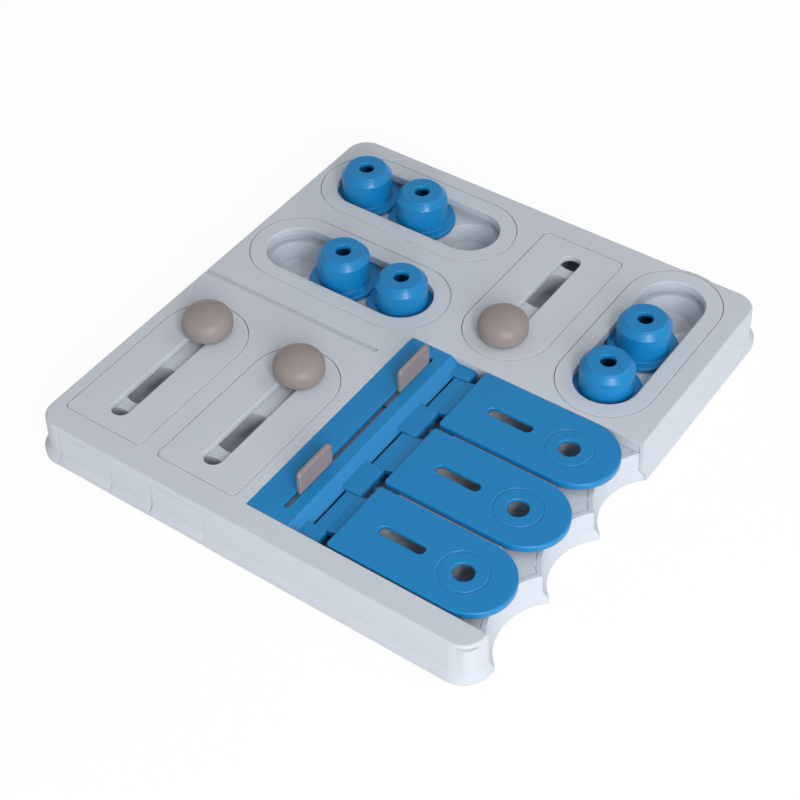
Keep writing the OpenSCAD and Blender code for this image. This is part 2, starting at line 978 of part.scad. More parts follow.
// The arm that drops from the plate and covers the hinge barrel.
module lid_arm() {
    start_z = top_z - arm_drop;
    reach = lid_back + lid_rim_t;
    translate([0, barrel_l / 2, 0])
        rotate([90, 0, 0])
            linear_extrude(barrel_l)
                polygon([
                    [hinge_x + arm_end[0], hinge_z + arm_end[1]],
                    [hinge_x + arm_bend[0], hinge_z + arm_bend[1]],
                    [lid_back, start_z],
                    [reach, start_z],
                    [reach, start_z - arm_t],
                    [lid_back, start_z - arm_t],
                    [hinge_x, hinge_z + arm_end[1] - arm_t],
                    [hinge_x + arm_end[0], hinge_z + arm_end[1] - arm_t]
                ]);
}

module lid(i) {
    slot_r = lid_slot_w / 2;
    color("#3382bd")
        at_lid(i)
            difference() {
                union() {
                    difference() {
                        translate([0, 0, lid_under]) {
                            linear_extrude(lid_edge_h - plate_edge)
                                lid_outline(0);
                            linear_extrude(lid_edge_h)
                                lid_outline(plate_edge);
                        }
                        translate([0, 0, lid_under - eps])
                            linear_extrude(lid_edge_h - lid_skin + eps)
                                lid_outline(lid_rim_t);
                    }
                    lid_arm();
                    rod(barrel_r, -barrel_l / 2, barrel_l / 2);
                    rod(stub_r, -barrel_l / 2 - stub_l, barrel_l / 2 + stub_l);
                }
                translate([lid_well_far, 0, top_z - lid_ring_depth])
                    difference() {
                        cylinder(r = lid_ring_r, h = lid_edge_h);
                        translate([0, 0, -eps])
                            cylinder(r = lid_ring_r - lid_ring_w, h = 2 * lid_edge_h);
                    }
                translate([lid_well_far, 0, lid_under])
                    cylinder(r = lid_hole_r, h = 2 * lid_edge_h);
                translate([(lid_slot_from + lid_slot_to) / 2, 0, 0])
                    stadium((lid_slot_to - lid_slot_from) / 2 - slot_r, slot_r,
                            lid_under, top_z + eps);
            }
}

// ---- lock tabs ----

module blade_face() {
    top = top_z + blade_rise;
    r = blade_corner_r;
    translate([0, base_high - eps])
        square([blade_l, top - r - base_high + eps]);
    translate([r, base_high - eps])
        square([blade_l - 2 * r, top - base_high + eps]);
    for (y = [r, blade_l - r])
        translate([y, top - r])
            circle(r, $fn = 32);
}

module lock_tab(i) {
    color("#87797a")
        translate([tab_x, tab_low_y[i], 0]) {
            translate([-blade_t / 2, 0, 0])
                rotate([90, 0, 90])
                    linear_extrude(blade_t)
                        blade_face();
            slab([-base_w / 2, -base_tail], [base_w / 2, blade_l], base_low, base_high);
        }
}

board();
track_tray(0);  // track_tray_1
track_tray(1);  // track_tray_2
track_tray(2);  // track_tray_3
drawer_bay(0);  // drawer_bay_a
drawer_bay(1);  // drawer_bay_b
drawer_bay(2);  // drawer_bay_c
lid_frame();
lid_tray();
hinge_bed();
cover_plate(0);  // cover_plate_a
cover_plate(1);  // cover_plate_b
cover_plate(2);  // cover_plate_c
drawer(0);  // drawer_a
drawer(1);  // drawer_b
drawer(2);  // drawer_c
knob(0);  // knob_a
knob(1);  // knob_b
knob(2);  // knob_c
track_rim(0);  // track_rim_1
track_rim(1);  // track_rim_2
track_rim(2);  // track_rim_3
cup(0, 0);  // cup_1
cup(0, 1);  // cup_2
cup(1, 1);  // cup_3
cup(1, 0);  // cup_4
cup(2, 1);  // cup_5
cup(2, 0);  // cup_6
hinge_panel();
lock_tab(0);  // lock_tab_1
lock_tab(1);  // lock_tab_2
lid(0);  // lid_1
lid(1);  // lid_2
lid(2);  // lid_3
rubber_feet();
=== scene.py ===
# A flat treat puzzle for dogs: a pale grey moulded board with sliding knobs,
# sliding cups and hinged lids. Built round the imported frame, in metres.

import math

import bmesh
import bpy
from mathutils import Matrix, Vector


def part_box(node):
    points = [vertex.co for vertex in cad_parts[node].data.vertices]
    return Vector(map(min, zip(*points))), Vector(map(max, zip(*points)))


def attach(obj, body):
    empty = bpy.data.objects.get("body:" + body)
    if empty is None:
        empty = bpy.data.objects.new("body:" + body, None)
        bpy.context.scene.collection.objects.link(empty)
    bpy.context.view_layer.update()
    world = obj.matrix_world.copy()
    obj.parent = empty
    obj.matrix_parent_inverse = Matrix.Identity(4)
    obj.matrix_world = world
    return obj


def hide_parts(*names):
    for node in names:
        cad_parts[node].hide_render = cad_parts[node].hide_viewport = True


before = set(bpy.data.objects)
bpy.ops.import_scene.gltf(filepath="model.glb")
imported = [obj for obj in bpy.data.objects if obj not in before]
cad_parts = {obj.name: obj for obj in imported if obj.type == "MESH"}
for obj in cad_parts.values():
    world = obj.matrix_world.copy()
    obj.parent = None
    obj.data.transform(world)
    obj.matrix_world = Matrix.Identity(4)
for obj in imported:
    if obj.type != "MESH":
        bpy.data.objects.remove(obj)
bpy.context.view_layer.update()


# ---------------------------------------------------------------------------
# The viewpoint. The photograph looks down on the board's corner from about
# one metre away, a little past half height, with the camera tipped slightly.

eye = Vector((0.427195, -0.602011, 0.736458))
turn = math.radians(35.79)
lift = math.radians(45.2)
tip = math.radians(-1.24)
level = Vector((math.cos(turn), math.sin(turn), 0))
back = Vector((math.sin(turn) * math.cos(lift), -math.cos(turn) * math.cos(lift), math.sin(lift)))
rise = back.cross(level)
side = level * math.cos(tip) + rise * math.sin(tip)
top = rise * math.cos(tip) - level * math.sin(tip)

lens = bpy.data.cameras.new("camera")
lens.lens = 77.72
lens.sensor_width = 36
camera = bpy.data.objects.new("camera", lens)
camera.matrix_world = Matrix((
    (side.x, top.x, back.x, eye.x),
    (side.y, top.y, back.y, eye.y),
    (side.z, top.z, back.z, eye.z),
    (0, 0, 0, 1),
))
bpy.context.scene.collection.objects.link(camera)
bpy.context.scene.camera = camera


# ---------------------------------------------------------------------------
# The board. An injection moulding in pale grey plastic with a fine satin
# grain, open underneath. Its trays, channels and frame are fixed under its
# top, and all of them keep their CAD shapes and share one finish.


def moulded_surface():
    """A node group for every moulded piece: grain, mottle, and paler edges that are partly rub and
    partly a painted highlight.
    """
    cloud_scale, fleck_scale, fleck_share = 22.0, 420.0, 0.5
    edge_samples, edge_gain, patch_scale, patch_lift = 6, 5.0, 60.0, 0.2
    smear_scale, smear_swing = 35.0, 0.14
    wave_scale, grain_height, wave_height = 14.0, 0.00006, 0.0004
    group = bpy.data.node_groups.new("moulded surface", "ShaderNodeTree")
    face = group.interface

    def socket(name, kind, value, way="INPUT"):
        made = face.new_socket(name=name, in_out=way, socket_type="NodeSocket" + kind)
        if way == "INPUT":
            made.default_value = value

    socket("Colour", "Color", (0.5, 0.5, 0.5, 1))
    socket("Worn colour", "Color", (0.6, 0.6, 0.6, 1))
    socket("Mottle", "Float", 0.03)
    socket("Roughness", "Float", 0.5)
    socket("Grain", "Float", 0.1)
    socket("Grain size", "Float", 1500.0)
    socket("Edge", "Float", 0.0006)
    socket("Wear", "Float", 0.4)
    socket("Colour", "Color", None, "OUTPUT")
    socket("Roughness", "Float", None, "OUTPUT")
    socket("Normal", "Vector", None, "OUTPUT")

    nodes = group.nodes
    link = group.links.new
    given = nodes.new("NodeGroupInput")
    out = nodes.new("NodeGroupOutput")
    place = nodes.new("ShaderNodeTexCoord")

    def noise(scale, detail, rough=0.5):
        made = nodes.new("ShaderNodeTexNoise")
        made.inputs["Scale"].default_value = scale
        made.inputs["Detail"].default_value = detail
        made.inputs["Roughness"].default_value = rough
        link(place.outputs["Object"], made.inputs["Vector"])
        return made

    def maths(kind, a, b, clamp=False):
        made = nodes.new("ShaderNodeMath")
        made.operation = kind
        made.use_clamp = clamp
        for slot, value in zip(made.inputs, (a, b)):
            if isinstance(value, (int, float)):
                slot.default_value = value
            else:
                link(value, slot)
        return made.outputs[0]

    # Slow clouding of the colour, as the melt leaves it.
    cloud = noise(cloud_scale, 4.0, 0.6)
    fleck = noise(fleck_scale, 2.0)
    swing = maths("SUBTRACT", cloud.outputs["Fac"], 0.5)
    speck = maths("SUBTRACT", fleck.outputs["Fac"], 0.5)
    swing = maths("ADD", swing, maths("MULTIPLY", speck, fleck_share))
    swing = maths("MULTIPLY", swing, given.outputs["Mottle"])
    value = nodes.new("ShaderNodeHueSaturation")
    link(maths("ADD", swing, 1.0), value.inputs["Value"])
    link(given.outputs["Colour"], value.inputs["Color"])

    # Rounded edges, and a paler colour where the edges turn: a rub on the grey and taupe, and on the
    # blue partly a rub and partly a painted highlight.
    soft = nodes.new("ShaderNodeBevel")
    soft.samples = edge_samples
    link(given.outputs["Edge"], soft.inputs["Radius"])
    shape = nodes.new("ShaderNodeNewGeometry")
    agree = nodes.new("ShaderNodeVectorMath")
    agree.operation = "DOT_PRODUCT"
    link(soft.outputs["Normal"], agree.inputs[0])
    link(shape.outputs["Normal"], agree.inputs[1])
    edge = maths("MULTIPLY", maths("SUBTRACT", 1.0, agree.outputs["Value"]), edge_gain, True)
    patch = noise(patch_scale, 3.0)
    edge = maths("MULTIPLY", edge, maths("ADD", patch.outputs["Fac"], patch_lift))
    edge = maths("MULTIPLY", edge, given.outputs["Wear"], True)
    paint = nodes.new("ShaderNodeMix")
    paint.data_type = "RGBA"
    link(edge, paint.inputs[0])
    link(value.outputs["Color"], paint.inputs[6])
    link(given.outputs["Worn colour"], paint.inputs[7])
    link(paint.outputs[2], out.inputs["Colour"])

    # The gloss breaks up a little from place to place.
    smear = noise(smear_scale, 3.0)
    gloss = maths("MULTIPLY", maths("SUBTRACT", smear.outputs["Fac"], 0.5), smear_swing)
    link(maths("ADD", given.outputs["Roughness"], gloss, True), out.inputs["Roughness"])

    # The mould's fine grain, and a very slow waviness of the skin.
    grain = nodes.new("ShaderNodeTexNoise")
    grain.inputs["Detail"].default_value = 2.0
    link(place.outputs["Object"], grain.inputs["Vector"])
    link(given.outputs["Grain size"], grain.inputs["Scale"])
    wave = noise(wave_scale, 1.0)
    height = maths("ADD", maths("MULTIPLY", grain.outputs["Fac"], grain_height),
                   maths("MULTIPLY", wave.outputs["Fac"], wave_height))
    bump = nodes.new("ShaderNodeBump")
    bump.inputs["Distance"].default_value = 1.0
    link(given.outputs["Grain"], bump.inputs["Strength"])
    link(height, bump.inputs["Height"])
    link(soft.outputs["Normal"], bump.inputs["Normal"])
    link(bump.outputs["Normal"], out.inputs["Normal"])
    return group


surface = moulded_surface()


def plastic(name, colour, rub_and_highlight_colour, roughness, grain, shine=0.5, rub_and_highlight_share=0.4):
    """One plastic finish, made from the moulded surface and a Principled shader."""
    made = bpy.data.materials.new(name)
    made.use_nodes = True
    nodes = made.node_tree.nodes
    link = made.node_tree.links.new
    shader = nodes["Principled BSDF"]
    skin = nodes.new("ShaderNodeGroup")
    skin.node_tree = surface
    skin.inputs["Colour"].default_value = (*colour, 1)
    # The edges are mixed towards this colour: a real rub, and on the blue also a painted highlight.
    skin.inputs["Worn colour"].default_value = (*rub_and_highlight_colour, 1)
    skin.inputs["Mottle"].default_value = 0.05
    skin.inputs["Roughness"].default_value = roughness
    skin.inputs["Grain"].default_value = grain
    skin.inputs["Edge"].default_value = 0.0006
    skin.inputs["Wear"].default_value = rub_and_highlight_share
    link(skin.outputs["Colour"], shader.inputs["Base Color"])
    link(skin.outputs["Roughness"], shader.inputs["Roughness"])
    link(skin.outputs["Normal"], shader.inputs["Normal"])
    shader.inputs["IOR"].default_value = 1.49
    shader.inputs["Specular IOR Level"].default_value = shine
    return made


def finish_node(node, material):
    """A CAD piece whose shape is right keeps it and takes this finish."""
    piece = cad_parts[node]
    if not piece.material_slots:
        piece.data.materials.append(material)
    for slot in piece.material_slots:
        slot.material = material


grey = plastic("pale grey plastic", (0.500, 0.535, 0.59), (0.62, 0.65, 0.69), 0.6, 0.35, shine=0.3)


def rounded(nodes, name, body, material, width, steps=2):
    """Copies CAD pieces of one body, welds them clean and rounds their edges."""
    weld, level_angle, sharp_angle = 0.000002, math.radians(0.5), math.radians(40)
    mesh = bmesh.new()
    for node in nodes:
        mesh.from_mesh(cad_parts[node].data)
    bmesh.ops.remove_doubles(mesh, verts=mesh.verts, dist=weld)
    bmesh.ops.dissolve_limit(mesh, angle_limit=level_angle, verts=mesh.verts, edges=mesh.edges)
    rough = bpy.data.meshes.new(name)
    mesh.to_mesh(rough)
    mesh.free()
    source = bpy.data.objects.new(name + ".source", rough)
    bpy.context.scene.collection.objects.link(source)
    ease = source.modifiers.new("rounding", "BEVEL")
    ease.width = width
    ease.segments = steps
    ease.limit_method = "ANGLE"
    ease.angle_limit = sharp_angle
    ease.use_clamp_overlap = True
    ease.harden_normals = True
    seen = source.evaluated_get(bpy.context.evaluated_depsgraph_get())
    data = bpy.data.meshes.new_from_object(seen)
    bpy.data.objects.remove(source)
    data.materials.clear()
    data.materials.append(material)
    piece = bpy.data.objects.new(name, data)
    bpy.context.scene.collection.objects.link(piece)
    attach(piece, body)
    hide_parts(*nodes)
    return piece


for node in ("board", "lid_frame", "lid_tray", "hinge_bed", "track_tray_1", "track_tray_2",
             "track_tray_3", "drawer_bay_a", "drawer_bay_b", "drawer_bay_c"):
    finish_node(node, grey)


# ---------------------------------------------------------------------------
# The cover plates. Three D-shaped plates in the board's own grey, let into
# its top over the drawers and snapped down, each with a slot for a knob.

plate_half = 28.15
plate_arc_y = 54.7
plate_end = 144.3
plate_corner = 3.5
plate_low = 25.0
deck = 29.0
plate_ease = 0.45
slot_from = 48.0
slot_to = 127.0
slot_r = 6.2


def bow(cx, cy, r, start, end, steps=16):
    """Points on an arc, from one angle to another in degrees, ends included."""
    turns = [math.radians(start + (end - start) * i / steps) for i in range(steps + 1)]
    return [(cx + r * math.cos(t), cy + r * math.sin(t)) for t in turns]


def eased(low, high, ease, steps=4):
    """A wall's steps from foot to top, each an inset and a height: the top is rounded."""
    turns = [math.radians(90 * i / steps) for i in range(steps + 1)]
    return [(0, low)] + [(ease * (1 - math.cos(t)), high - ease + ease * math.sin(t)) for t in turns]


def walls(mesh, outline, steps, place):
    """Stacks one ring of points for each step and skins them. Returns all the rings."""
    rings = [[mesh.verts.new(place(x, y, z)) for x, y in outline(inset)] for inset, z in steps]
    for low, high in zip(rings, rings[1:]):
        for i in range(len(low)):
            j = (i + 1) % len(low)
            mesh.faces.new((low[i], low[j], high[j], high[i])).smooth = True
    return rings


def sheet(mesh, *loops):
    """A flat face that fills the first loop and leaves the others open."""
    edges = []
    for loop in loops:
        for i in range(len(loop)):
            pair = (loop[i - 1], loop[i])
            edges.append(mesh.edges.get(pair) or mesh.edges.new(pair))
    made = bmesh.ops.triangle_fill(mesh, edges=edges, use_beauty=True, use_dissolve=False)
    for part in made["geom"]:
        if isinstance(part, bmesh.types.BMFace):
            part.smooth = False


def cleaned(mesh):
    """From millimetres to metres, with faces outwards and the sharp edges marked."""
    sharp = math.radians(38)
    bmesh.ops.scale(mesh, vec=(0.001, 0.001, 0.001), verts=mesh.verts)
    bmesh.ops.recalc_face_normals(mesh, faces=mesh.faces)
    for edge in mesh.edges:
        if len(edge.link_faces) == 2 and edge.calc_face_angle(0) > sharp:
            edge.smooth = False


def middle_of(node):
    """Where the middle of a CAD piece lies in the plan, in millimetres."""
    low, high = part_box(node)
    return [(a + b) / 2 * 1000 for a, b in zip(low[:2], high[:2])]


def finished(name, mesh, material, body, *nodes):
    """Turns a mesh in millimetres into a piece that rides on its body for its CAD nodes."""
    cleaned(mesh)
    data = bpy.data.meshes.new(name)
    mesh.to_mesh(data)
    mesh.free()
    data.materials.append(material)
    piece = bpy.data.objects.new(name, data)
    bpy.context.scene.collection.objects.link(piece)
    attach(piece, body)
    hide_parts(*nodes)


def plate_outline(inset):
    """The D shape: a square end with small corners, and a round end."""
    half = plate_half - inset
    corner = plate_corner - inset
    end = plate_end - plate_corner
    side = plate_half - plate_corner
    return (bow(side, end, corner, 0, 90, 6) + bow(-side, end, corner, 90, 180, 6)
            + bow(0, plate_arc_y, half, 180, 360, 48))


def long_hole(half, r, steps=16):
    """A hole with round ends along X. Its rim widens with the inset."""
    return lambda inset: (bow(half, 0, r + inset, -90, 90, steps)
                          + bow(-half, 0, r + inset, 90, 270, steps))


def slot_outline(inset):
    """The slot that a knob's stem runs in, along Y."""
    half = (slot_to - slot_from) / 2
    middle = (slot_to + slot_from) / 2
    return [(-y, middle + x) for x, y in long_hole(half, slot_r)(inset)]


for letter, way in (("a", -1), ("b", -1), ("c", 1)):
    mesh = bmesh.new()
    x = middle_of("cover_plate_" + letter)[0]
    put = lambda px, py, pz: (x + way * px, way * py, pz)
    rim = walls(mesh, plate_outline, eased(plate_low, deck, plate_ease), put)
    cut = walls(mesh, slot_outline, eased(plate_low, deck, plate_ease), put)
    sheet(mesh, rim[-1], cut[-1])
    sheet(mesh, rim[0], cut[0])
    finished("plate_" + letter, mesh, grey, "base", "cover_plate_" + letter)


# ---------------------------------------------------------------------------
# The track rims. Three grey moulded frames with round ends, pressed into the
# board round the cup tracks. Their lips hold the cups down by the flanges.

track_half = 39.65
rim_r = 30.6
rim_open_r = 20.0
rim_low = 26.0
rim_ease = 0.45
rim_lip = 0.9
lip_r = 21.9
lip_low = 23.4
rim_opening = long_hole(track_half, rim_open_r, 32)


def rim_outline(inset):
    """A frame's outer edge, which shrinks with the inset where its opening widens."""
    return long_hole(track_half, rim_r, 40)(-inset)


for number, upright in enumerate((False, False, True), 1):
    mesh = bmesh.new()
    x, y = middle_of("track_rim_%d" % number)
    put = lambda px, py, pz: (x - py, y + px, pz) if upright else (x + px, y + py, pz)
    rim = walls(mesh, rim_outline, eased(rim_low, deck, rim_ease), put)
    cut = walls(mesh, rim_opening, eased(lip_low, deck, rim_lip, 6), put)
    lip_out = lip_r - rim_open_r
    lip = walls(mesh, rim_opening, [(lip_out, lip_low), (lip_out, rim_low)], put)
    sheet(mesh, rim[-1], cut[-1])
    sheet(mesh, rim[0], lip[-1])
    sheet(mesh, lip[0], cut[0])
    finished("rim_%d" % number, mesh, grey, "base", "track_rim_%d" % number)


# ---------------------------------------------------------------------------
# The drawers. Shallow trays moulded in the board's grey with two round wells
# each. They run in channels, and their fronts complete the board's wall.

drawer_ease = 0.0004
for letter in "abc":
    rounded(("drawer_" + letter,), "tray_" + letter, "drawer_unit_" + letter, grey, drawer_ease)


# ---------------------------------------------------------------------------
# The knobs. Fat round buttons moulded in dull taupe plastic, a low dome above
# and cut flat below, each on a stem pressed through the slot into its drawer.

taupe = plastic("taupe plastic", (0.262, 0.222, 0.215), (0.38, 0.33, 0.31), 0.45, 0.3, shine=0.4)
knob_r = 15.5
knob_edge = 7.5
knob_tuck = 5.5
knob_dome = 24.0
knob_top = 46.3
knob_low = 29.5
knob_cut = 0.8
knob_foot_ease = 0.5
stem_r = 5.7
stem_low = 24.75
spigot_r = 3.45
spigot_low = 17.7


def turned(mesh, profile, centre, closed=False, steps=96):
    """Turns a profile of radius and height round an upright axis."""
    rings = []
    for r, z in profile:
        count = 1 if r < 0.001 else steps
        turns = [2 * math.pi * i / count for i in range(count)]
        rings.append([mesh.verts.new((centre[0] + r * math.cos(t), centre[1] + r * math.sin(t), z))
                      for t in turns])
    for low, high in zip(rings, rings[1:] + (rings[:1] if closed else [])):
        for i in range(steps):
            j = (i + 1) % steps
            ring = (low[i % len(low)], low[j % len(low)], high[j % len(high)], high[i % len(high)])
            mesh.faces.new(list(dict.fromkeys(ring))).smooth = True


def filleted(corners, closed=False, steps=5):
    """A chain of points with rounded corners. Each corner is a place and a radius."""
    chain = []
    for i, (x, y, r) in enumerate(corners):
        here = Vector((x, y))
        if r == 0 or (not closed and i in (0, len(corners) - 1)):
            chain.append((x, y))
            continue
        before = (Vector(corners[i - 1][:2]) - here).normalized()
        after = (Vector(corners[(i + 1) % len(corners)][:2]) - here).normalized()
        half = before.angle(after) / 2
        middle = here + (before + after).normalized() * (r / math.sin(half))
        start = here + before * (r / math.tan(half)) - middle
        end = here + after * (r / math.tan(half)) - middle
        first = math.atan2(start.y, start.x)
        sweep = (math.atan2(end.y, end.x) - first + math.pi) % (2 * math.pi) - math.pi
        chain += bow(middle.x, middle.y, r, math.degrees(first), math.degrees(first + sweep), steps)
    return chain


def knob_profile():
    """From the spigot's foot on the axis, out and up round the edge, to the crown."""
    out = knob_r - knob_edge
    lean = math.degrees(math.acos(out / (knob_dome - knob_edge)))
    edge_z = knob_top - knob_dome + (knob_dome - knob_edge) * math.sin(math.radians(lean))
    tuck_z = knob_low + knob_cut * knob_tuck
    foot = -math.degrees(math.asin(knob_cut))
    flat_r = knob_r - knob_tuck + knob_tuck * math.cos(math.radians(foot)) - knob_foot_ease
    below = filleted([(0, spigot_low, 0), (spigot_r, spigot_low, 0.4), (spigot_r, stem_low, 0),
                      (stem_r, stem_low, 0.3), (stem_r, knob_low, 0), (flat_r, knob_low, 0)])
    return (below + bow(knob_r - knob_tuck, tuck_z, knob_tuck, foot + 4, 0, 12)
            + bow(out, edge_z, knob_edge, 0, lean, 20)
            + bow(0, knob_top - knob_dome, knob_dome, lean, 90, 14)[1:])


for letter, way in (("a", -1), ("b", -1), ("c", 1)):
    mesh = bmesh.new()
    turned(mesh, knob_profile(), (middle_of("drawer_" + letter)[0], way * slot_from))
    finished("button_" + letter, mesh, taupe, "drawer_unit_" + letter, "knob_" + letter)


# ---------------------------------------------------------------------------
# The cups. Six hollow blue beakers, upside down, with a small hole in the top
# and a flange that runs under the track's rim. Moulded in one piece each.

# The light blue at the edges is partly rub and partly a painted highlight, strong enough to stand for
# the bright shoulder edges of the cups.
blue = plastic("blue plastic", (0.004, 0.188, 0.450), (0.10, 0.38, 0.70), 0.30, 0.25,
               shine=0.4, rub_and_highlight_share=0.6)
cup_low = 19.7
cup_flange = 23.1
cup_top = 44.5
cup_r = 16.4
cup_flange_r = 21.7
cup_t = 2.0
cup_hole = 4.8
cup_disc = 12.9
cup_ceiling = 41.3
cup_side_top = 40.0
cup_band_r = 13.3
cup_band = 43.5

# One closed chain round the cut cup: each corner is a radius, a height and a rounding.
cup_profile = filleted([
    (cup_flange_r - cup_t, cup_low, 0.3),
    (cup_flange_r, cup_low, 0.5),
    (cup_flange_r, cup_flange, 0.9),
    (cup_r, cup_flange, 0.7),
    (cup_r, cup_side_top, 1.0),
    (cup_band_r, cup_band - 0.05, 0.4),
    (cup_disc, cup_band, 0.12),
    (cup_disc, cup_top, 0.5),
    (cup_hole, cup_top, 0.8),
    (cup_hole, cup_ceiling, 0.4),
    (cup_r - cup_t, cup_ceiling, 2.2),
    (cup_r - cup_t, cup_flange - cup_t, 0.5),
    (cup_flange_r - cup_t, cup_flange - cup_t, 0.5),
], closed=True)

for number in range(1, 7):
    node = "cup_%d" % number
    mesh = bmesh.new()
    turned(mesh, cup_profile, middle_of(node), closed=True)
    finished("beaker_%d" % number, mesh, blue, node, node)


# ---------------------------------------------------------------------------
# The lids. Three flaps moulded in blue plastic, hollow below, with a rounded
# tip, a long hole and a round hole inside a fine ring. Each has an arm and a
# barrel at the hinge, with stubs that snap into the panel's knuckles.

lid_half = 25.15
lid_back = 45.0
lid_tip = 146.6
lid_low = 24.5
lid_skin = 26.8
lid_wall = 2.0
lid_ease = 0.9
lid_corner = 2.0
hole_x = 116.7
hole_r = 6.25
hole_ease = 0.8
ring_r = 14.6
ring_groove = ((0, 0), (-0.15, -0.3), (-0.4, -0.42), (-0.75, -0.42), (-1.0, -0.3), (-1.15, 0))
slot_x = 77.5
slot_half = 11.25
slot_end_r = 3.25
hinge_x = 33.5
hinge_z = 20.0
barrel_r = 4.6
barrel_half = 14.9
stub_r = 2.0
stub_half = 20.9
stub_ease = 0.3
arm_z = 26.6
arm_bend = (37.3, 24.65)
arm_end = (29.7, 24.6)
arm_t = 3.0
barrel_meets = 20


def lid_outline(inset):
    """A straight hinge side with small corners, and a round tip."""
    r = lid_half - inset
    corner = max(lid_corner - inset, 0.3)
    return (bow(lid_tip - lid_half, 0, r, -90, 90, 48)
            + bow(lid_back + inset + corner, r - corner, corner, 90, 180, 5)
            + bow(lid_back + inset + corner, corner - r, corner, 180, 270, 5))


def round_hole(r):
    """A round hole in a lid. Its rim widens with the inset."""
    return lambda inset: bow(hole_x, 0, r + inset, 0, 352.5, 47)


def lid_slot(inset):
    """The long hole in a lid."""
    return [(slot_x + px, py) for px, py in long_hole(slot_half, slot_end_r)(inset)]


def lid_arm():
    """The arm's end view: a strip that bends down and lies flat over the round barrel."""
    near = math.degrees(math.acos((arm_end[0] - hinge_x) / barrel_r))
    return (filleted([(lid_back + lid_wall, arm_z, 0), (lid_back - 1, arm_z, 1.5), (*arm_bend, 2.5),
                      (*arm_end, 0.5), (arm_end[0], arm_end[1] - 1, 0)])
            + bow(hinge_x, hinge_z, barrel_r, near, 360 + barrel_meets, 28)
            + [(lid_back, arm_z - arm_t), (lid_back + lid_wall, arm_z - arm_t)])


def rod(mesh, r, low_y, high_y, ease):
    """A rod along the hinge line with eased ends, closed."""
    steps = [(r - ease, low_y), (r, low_y + ease), (r, high_y - ease), (r - ease, high_y)]
    rings = walls(mesh, lambda size: bow(hinge_x, hinge_z, size, 0, 350, 35), steps,
                  lambda px, pz, py: (px, py, pz))
    sheet(mesh, rings[0])
    sheet(mesh, rings[-1])


for number in (1, 2, 3):
    node = "lid_%d" % number
    y = middle_of(node)[1]
    put = lambda px, py, pz: (px, y + py, pz)
    mesh = bmesh.new()
    edge = walls(mesh, lid_outline, [(0.3, lid_low)] + eased(lid_low + 0.3, deck, lid_ease, 6), put)
    under = walls(mesh, lid_outline, [(lid_wall, lid_low), (lid_wall, lid_skin)], put)
    slot = walls(mesh, lid_slot, eased(lid_skin, deck, hole_ease, 5), put)
    hole = walls(mesh, round_hole(hole_r), eased(lid_skin, deck, hole_ease, 5), put)
    ring = walls(mesh, round_hole(ring_r), [(inset, deck + z) for inset, z in ring_groove], put)
    sheet(mesh, edge[-1], slot[-1], ring[0])
    sheet(mesh, ring[-1], hole[-1])
    sheet(mesh, under[-1], slot[0], hole[0])
    sheet(mesh, edge[0], under[0])
    arm = walls(mesh, lambda inset: lid_arm(), [(0, -barrel_half), (0, barrel_half)],
                lambda px, pz, py: (px, y + py, pz))
    sheet(mesh, arm[0])
    sheet(mesh, arm[-1])
    rod(mesh, stub_r, y - stub_half, y + stub_half, stub_ease)
    finished("flap_%d" % number, mesh, blue, node, node)


# ---------------------------------------------------------------------------
# The hinge panel. A strip moulded in the lids' blue and let into the board,
# with a flat top, a slope down to the hinge, a long slot for the tabs, and
# boxy knuckles that the lids' stubs turn in.

knuckle_back = 24.9
knuckle_front = 38.6
knuckle_top = 25.25
knuckle_bevel = 1.3
knuckle_ease = 0.4
knuckle_r = 5.0
slope_low = 23.2
barrel_space = 15.2
panel_ease = 0.0005


def knuckle_end():
    """A knuckle's end view: flat on top, bevelled towards the lid, round below."""
    return filleted([(hinge_x - knuckle_r, hinge_z, 0), (knuckle_back, slope_low, 0),
                     (knuckle_back, knuckle_top, 0),
                     (knuckle_front - knuckle_bevel, knuckle_top, knuckle_ease),
                     (knuckle_front, knuckle_top - knuckle_bevel, knuckle_ease),
                     (knuckle_front, hinge_z, 0)]) + bow(hinge_x, hinge_z, knuckle_r, 0, -180, 18)[1:]


def knuckle_spans():
    """Where the knuckles run along the hinge: both ends, and between the lids' barrels."""
    near, far = [corner[1] * 1000 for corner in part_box("hinge_panel")]
    lids = [middle_of("lid_%d" % number)[1] for number in (3, 2, 1)]
    starts = [near] + [y + barrel_space for y in lids]
    ends = [y - barrel_space for y in lids] + [far]
    return zip(starts, ends)


panel = rounded(("hinge_panel",), "panel", "base", blue, panel_ease)
mesh = bmesh.new()
for low, high in knuckle_spans():
    ends = walls(mesh, lambda inset: knuckle_end(), [(0, low), (0, high)],
                 lambda px, pz, py: (px, py, pz))
    sheet(mesh, ends[0])
    sheet(mesh, ends[-1])
cleaned(mesh)
mesh.from_mesh(panel.data)
mesh.to_mesh(panel.data)
mesh.free()


# ---------------------------------------------------------------------------
# The lock tabs. Two upright blades moulded in the knobs' taupe plastic. Each
# slides along the panel's slot on a flat base that runs under the panel.

tab_ease = 0.0007
for number in (1, 2):
    node = "lock_tab_%d" % number
    rounded((node,), "tab_%d" % number, node, taupe, tab_ease, 3)


# ---------------------------------------------------------------------------
# The feet. Six small discs of black rubber with a rounded lower edge, pushed
# into sockets under the board. One foot is drawn once and set on six points.

rubber = plastic("foot rubber", (0.05, 0.05, 0.052), (0.09, 0.09, 0.09), 0.8, 0.5)
foot_r = 0.006
foot_h = 0.003
foot_ease = 0.12
foot_places = ((-141.2, -148), (141.2, -152), (141.2, 148), (-141.2, 148), (-141.2, -6),
               (141.2, 28))


